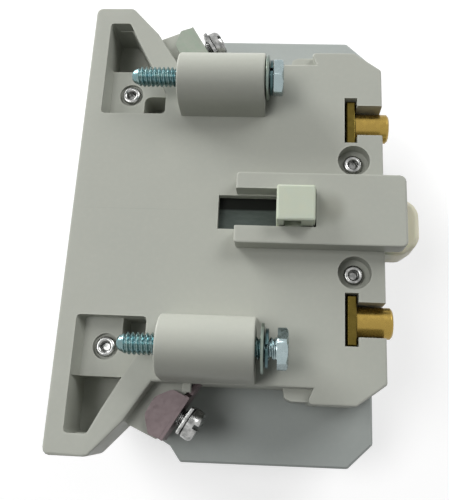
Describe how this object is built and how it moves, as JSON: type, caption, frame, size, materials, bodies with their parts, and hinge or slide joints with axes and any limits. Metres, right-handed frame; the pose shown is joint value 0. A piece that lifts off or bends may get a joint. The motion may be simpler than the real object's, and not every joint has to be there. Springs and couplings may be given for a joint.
{
  "type": "auxiliary contact block",
  "caption": "Auxiliary contact block for the side of a contactor: winged moulded housing, captive screws, fork guide and a sprung contact slide.",
  "frame": {"origin": "centre of the bounding box in X and Y, on the flat back in Z", "axes": "+X along the slide from the foot face to the nose, +Y towards the upper terminals, +Z from the back to the mounting side"},
  "size_m": [0.0832, 0.1136, 0.0465],
  "materials": {
    "grey_moulding": "fine moulded satin",
    "natural_nylon": "translucent natural nylon",
    "dark_fibre": "dark hard fibre sheet",
    "brass": "turned and milled",
    "blue_zinc": "blue zinc plate",
    "plated_steel": "bright nickel plate",
    "spring_steel": "drawn wire",
    "plated_contact": "tin plated strip"
  },
  "bodies": {
    "root": {"fixed_contact_front_lower": "plated_contact", "fixed_contact_front_upper": "plated_contact", "fixed_contact_rear_lower": "plated_contact", "fixed_contact_rear_upper": "plated_contact", "front_housing": "grey_moulding", "insert_lower": "brass", "insert_upper": "brass", "rear_housing": "grey_moulding", "return_spring": "spring_steel", "rivet_left_lower": "plated_steel", "rivet_left_upper": "plated_steel", "rivet_right_lower": "plated_steel", "rivet_right_upper": "plated_steel"},
    "slide": {"contact_slide": "natural_nylon", "window_shield": "dark_fibre", "front_bridge_spring": "spring_steel", "rear_bridge_spring": "spring_steel"},
    "front_bridge": {"front_bridge": "plated_contact"},
    "rear_bridge": {"rear_bridge": "plated_contact"},
    "screw_upper": {"mounting_screw_upper": "blue_zinc"},
    "washers_upper": {"flat_washer_upper": "blue_zinc", "lock_washer_upper": "blue_zinc"},
    "screw_lower": {"mounting_screw_lower": "blue_zinc"},
    "washers_lower": {"flat_washer_lower": "blue_zinc", "lock_washer_lower": "blue_zinc"},
    "clamp_front_upper": {"clamp_washer_front_upper": "blue_zinc"},
    "clamp_screw_front_upper": {"terminal_screw_front_upper": "plated_steel"},
    "clamp_front_lower": {"clamp_washer_front_lower": "blue_zinc"},
    "clamp_screw_front_lower": {"terminal_screw_front_lower": "plated_steel"},
    "clamp_rear_upper": {"clamp_washer_rear_upper": "blue_zinc"},
    "clamp_screw_rear_upper": {"terminal_screw_rear_upper": "plated_steel"},
    "clamp_rear_lower": {"clamp_washer_rear_lower": "blue_zinc"},
    "clamp_screw_rear_lower": {"terminal_screw_rear_lower": "plated_steel"}
  },
  "joints": [
    {"name": "contact_slide_travel", "type": "slide", "parent": "root", "child": "slide", "axis": [-1, 0, 0], "range_m": [0, 0.006], "stiffness_N_per_m": 400, "springref_m": -0.004, "deforming": ["return_spring"]},
    {"name": "front_bridge_give", "type": "slide", "parent": "slide", "child": "front_bridge", "axis": [-1, 0, 0], "range_m": [0, 0.0012], "stiffness_N_per_m": 500, "springref_m": -0.003, "deforming": ["front_bridge_spring"]},
    {"name": "rear_bridge_give", "type": "slide", "parent": "slide", "child": "rear_bridge", "axis": [1, 0, 0], "range_m": [0, 0.0012], "stiffness_N_per_m": 500, "springref_m": -0.003, "deforming": ["rear_bridge_spring"]},
    {"name": "mounting_screw_slide_upper", "type": "slide", "parent": "root", "child": "screw_upper", "axis": [1, 0, 0], "range_m": [0, 0.006]},
    {"name": "washer_slide_upper", "type": "slide", "parent": "root", "child": "washers_upper", "axis": [1, 0, 0], "range_m": [0, 0.00219]},
    {"name": "mounting_screw_slide_lower", "type": "slide", "parent": "root", "child": "screw_lower", "axis": [1, 0, 0], "range_m": [-0.0026, 0.0034]},
    {"name": "washer_slide_lower", "type": "slide", "parent": "root", "child": "washers_lower", "axis": [1, 0, 0], "range_m": [-0.00095, 0.00124]},
    {"name": "clamp_lift_front_upper", "type": "slide", "parent": "root", "child": "clamp_front_upper", "axis": [0.8572, 0.515, 0], "range_m": [-0.0011, 0.00159]},
    {"name": "clamp_screw_turn_front_upper", "type": "hinge", "parent": "clamp_front_upper", "child": "clamp_screw_front_upper", "pos_m": [-0.01401, 0.04569, 0.029], "axis": [0.8572, 0.515, 0], "range_deg": [-498.8, 720]},
    {"name": "clamp_lift_front_lower", "type": "slide", "parent": "root", "child": "clamp_front_lower", "axis": [0.8572, -0.515, 0], "range_m": [-0.0011, 0.00159]},
    {"name": "clamp_screw_turn_front_lower", "type": "hinge", "parent": "clamp_front_lower", "child": "clamp_screw_front_lower", "pos_m": [-0.01401, -0.04569, 0.029], "axis": [0.8572, -0.515, 0], "range_deg": [-498.8, 720]},
    {"name": "clamp_lift_rear_upper", "type": "slide", "parent": "root", "child": "clamp_rear_upper", "axis": [0.8572, 0.515, 0], "range_m": [-0.0011, 0.00159]},
    {"name": "clamp_screw_turn_rear_upper", "type": "hinge", "parent": "clamp_rear_upper", "child": "clamp_screw_rear_upper", "pos_m": [-0.01401, 0.04569, 0.006], "axis": [0.8572, 0.515, 0], "range_deg": [-498.8, 720]},
    {"name": "clamp_lift_rear_lower", "type": "slide", "parent": "root", "child": "clamp_rear_lower", "axis": [0.8572, -0.515, 0], "range_m": [-0.0011, 0.00159]},
    {"name": "clamp_screw_turn_rear_lower", "type": "hinge", "parent": "clamp_rear_lower", "child": "clamp_screw_rear_lower", "pos_m": [-0.01401, -0.04569, 0.006], "axis": [0.8572, -0.515, 0], "range_deg": [-498.8, 720]}
  ],
  "couplings": [
    {"joint": "washer_slide_upper", "follows": "mounting_screw_slide_upper", "ratio": 0.3654},
    {"joint": "washer_slide_lower", "follows": "mounting_screw_slide_lower", "ratio": 0.3654},
    {"joint": "clamp_screw_turn_front_upper", "follows": "clamp_lift_front_upper", "rad_per_m": 7913.3},
    {"joint": "clamp_screw_turn_front_lower", "follows": "clamp_lift_front_lower", "rad_per_m": 7913.3},
    {"joint": "clamp_screw_turn_rear_upper", "follows": "clamp_lift_rear_upper", "rad_per_m": 7913.3},
    {"joint": "clamp_screw_turn_rear_lower", "follows": "clamp_lift_rear_lower", "rad_per_m": 7913.3}
  ]
}
